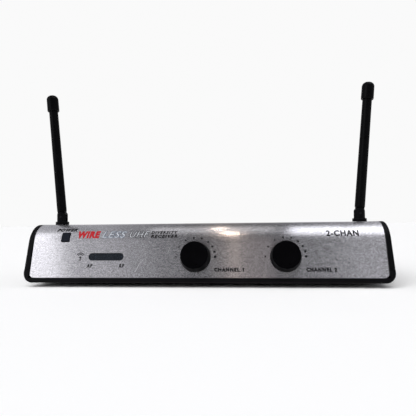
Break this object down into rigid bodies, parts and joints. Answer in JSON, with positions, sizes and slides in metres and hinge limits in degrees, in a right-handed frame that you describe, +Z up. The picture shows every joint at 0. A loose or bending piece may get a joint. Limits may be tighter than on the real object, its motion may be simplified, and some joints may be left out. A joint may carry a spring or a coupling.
{
  "type": "wireless receiver unit",
  "caption": "Desktop wireless receiver with a sloping metal front, two volume knobs, a power button, an indicator window and two folding antennas.",
  "frame": {"origin": "centre of the whole object's footprint, at the level its feet stand on", "axes": "+X to the right seen from the front, the front faces -Y, +Z up"},
  "size_m": [0.2374, 0.1374, 0.1364],
  "materials": {
    "cover_metal": "horizontally brushed, satin",
    "case_plastic": "fine moulded texture",
    "panel_paint": "powder coat",
    "foot_rubber": "matte",
    "black_screws": "black zinc",
    "plated_steel": "zinc plated",
    "tinned_steel": "tin plated",
    "button_plastic": "satin",
    "white_nylon": "moulded",
    "component_black": "moulded",
    "smoked_window": "smoked, polished",
    "led_resin": "clear tinted resin, unlit",
    "circuit_board": "solder mask",
    "pot_metal": "stamped, plated",
    "knob_plastic": "smooth, semi-gloss",
    "capacitor_sleeve": "shrink sleeve",
    "heat_sink_aluminium": "extruded",
    "ribbon_grey": "ribbed",
    "socket_plastic": "moulded",
    "nickel_brass": "nickel plated",
    "antenna_plastic": "moulded, semi-gloss",
    "antenna_plastic_pin": "blackened",
    "antenna_rubber": "smooth, slightly glossy",
    "lead_jacket": "extruded jacket"
  },
  "bodies": {
    "root": {"bottom_case": "case_plastic", "left_cheek": "case_plastic", "right_cheek": "case_plastic", "top_cover": "cover_metal", "rear_panel": "panel_paint", "rubber_feet": "foot_rubber", "case_screws": "black_screws", "panel_screws": "black_screws", "board_screws": "plated_steel", "cover_nuts": "plated_steel", "power_switch": "component_black", "indicator_window": "smoked_window", "led_holder": "component_black", "indicator_leds": "led_resin", "front_circuit_board": "circuit_board", "main_circuit_board": "circuit_board", "volume_pot_1": "pot_metal", "volume_pot_2": "pot_metal", "pot_washers": "plated_steel", "pot_nuts": "plated_steel", "rf_shields": "tinned_steel", "tuning_coils": "tinned_steel", "crystals": "tinned_steel", "chips": "component_black", "capacitors": "capacitor_sleeve", "voltage_regulator": "component_black", "heat_sink": "heat_sink_aluminium", "board_headers": "white_nylon", "ribbon_cable": "ribbon_grey", "dc_inlet": "component_black", "dc_inlet_pin": "plated_steel", "output_jack": "socket_plastic", "output_jack_nut": "plated_steel", "antenna_bush_left": "nickel_brass", "antenna_lead_left": "lead_jacket", "antenna_bush_right": "nickel_brass", "antenna_lead_right": "lead_jacket"},
    "power_button": {"power_button": "button_plastic", "switch_plunger": "white_nylon"},
    "knob_1": {"knob_1": "knob_plastic", "pot_shaft_1": "plated_steel"},
    "knob_2": {"knob_2": "knob_plastic", "pot_shaft_2": "plated_steel"},
    "antenna_left_swivel": {"antenna_fork_left": "antenna_plastic", "antenna_clip_left": "plated_steel", "antenna_pin_left": "antenna_plastic_pin"},
    "antenna_left_rod": {"antenna_tongue_left": "antenna_plastic", "antenna_rod_left": "antenna_rubber", "antenna_cap_left": "antenna_rubber"},
    "antenna_right_swivel": {"antenna_fork_right": "antenna_plastic", "antenna_clip_right": "plated_steel", "antenna_pin_right": "antenna_plastic_pin"},
    "antenna_right_rod": {"antenna_tongue_right": "antenna_plastic", "antenna_rod_right": "antenna_rubber", "antenna_cap_right": "antenna_rubber"}
  },
  "joints": [
    {"name": "power_button_press", "type": "slide", "parent": "root", "child": "power_button", "axis": [0, 0.9668, -0.2554], "range_m": [0, 0.002], "stiffness_N_per_m": 400, "springref_m": -0.001},
    {"name": "knob_1_turn", "type": "hinge", "parent": "root", "child": "knob_1", "pos_m": [-0.0043, -0.05869, 0.01921], "axis": [0, -0.9668, 0.2554], "range_deg": [0, 300]},
    {"name": "knob_2_turn", "type": "hinge", "parent": "root", "child": "knob_2", "pos_m": [0.0531, -0.05869, 0.01921], "axis": [0, -0.9668, 0.2554], "range_deg": [0, 300]},
    {"name": "antenna_left_turn", "type": "hinge", "parent": "root", "child": "antenna_left_swivel", "pos_m": [-0.105, -0.0336, 0.04092], "axis": [0, 0, 1], "range_deg": [-170, 170]},
    {"name": "antenna_left_tilt", "type": "hinge", "parent": "antenna_left_swivel", "child": "antenna_left_rod", "pos_m": [-0.105, -0.0336, 0.04662], "axis": [0, -1, 0], "range_deg": [-90, 80]},
    {"name": "antenna_right_turn", "type": "hinge", "parent": "root", "child": "antenna_right_swivel", "pos_m": [0.105, -0.0336, 0.04092], "axis": [0, 0, 1], "range_deg": [-170, 170]},
    {"name": "antenna_right_tilt", "type": "hinge", "parent": "antenna_right_swivel", "child": "antenna_right_rod", "pos_m": [0.105, -0.0336, 0.04662], "axis": [0, 1, 0], "range_deg": [-90, 80]}
  ]
}
